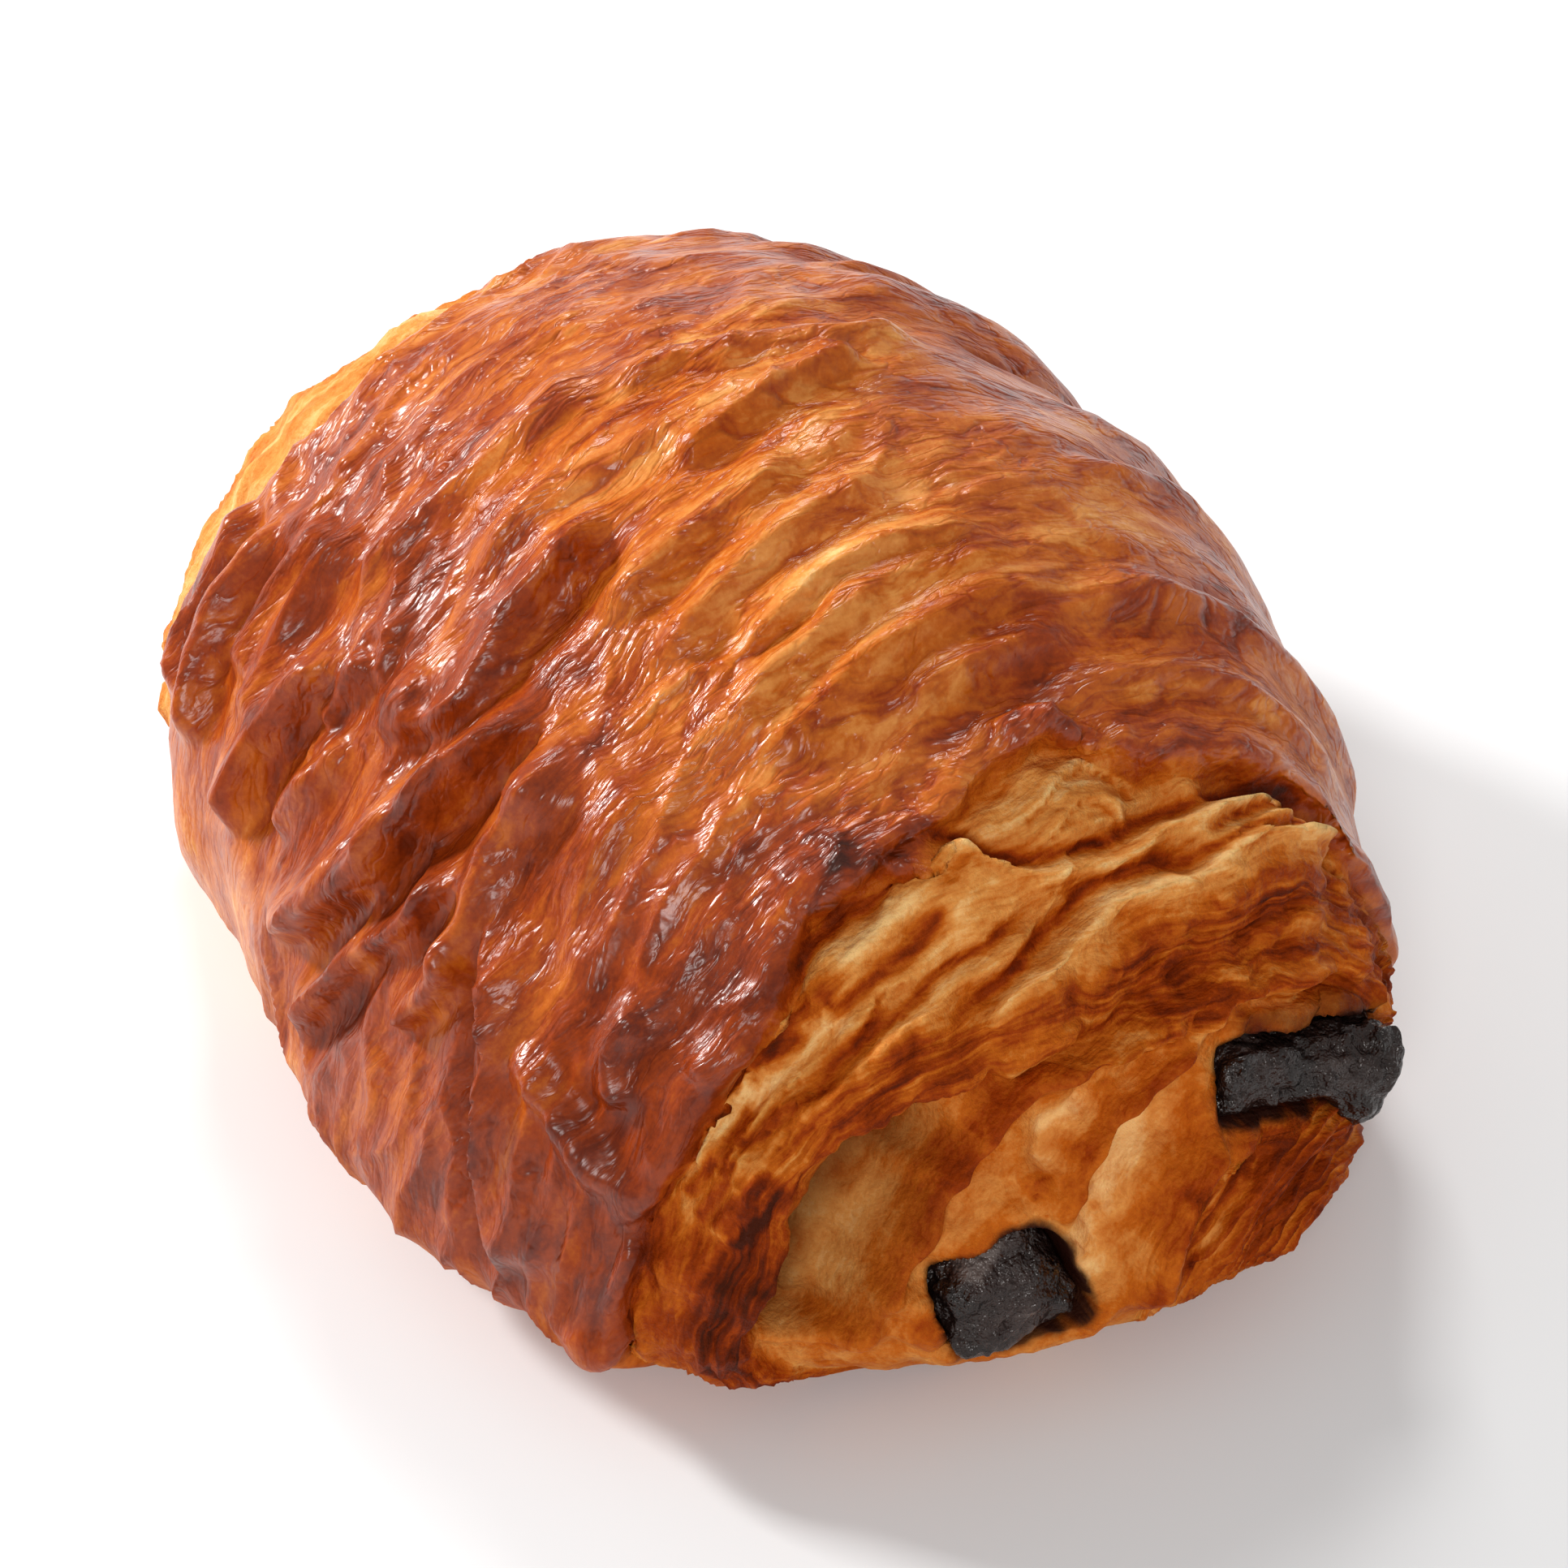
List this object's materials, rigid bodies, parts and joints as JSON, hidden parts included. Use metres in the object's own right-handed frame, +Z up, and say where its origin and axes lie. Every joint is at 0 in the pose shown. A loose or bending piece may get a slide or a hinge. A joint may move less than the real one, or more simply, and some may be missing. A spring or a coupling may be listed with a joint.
{
  "type": "pain au chocolat",
  "caption": "Baked roll of laminated dough with a glazed, wrinkled top, layered open ends and chocolate batons lying through it, resting on a flat base.",
  "frame": {"origin": "on the surface the pastry rests on, below the middle of its bounding box", "axes": "+X along the roll towards the end where the batons stand out, +Y across the roll to the side of the flatter baton, +Z up"},
  "size_m": [0.092, 0.0728, 0.0508],
  "materials": {
    "crust": "egg-washed, baked golden to red brown, satin to glossy on the top and drier on the layered ends",
    "dark_chocolate": "dark baked chocolate, dull with small glossy spots"
  },
  "bodies": {
    "root": {"baked_dough": "crust", "chocolate_baton_right": "dark_chocolate", "chocolate_baton_left": "dark_chocolate"}
  },
  "joints": []
}
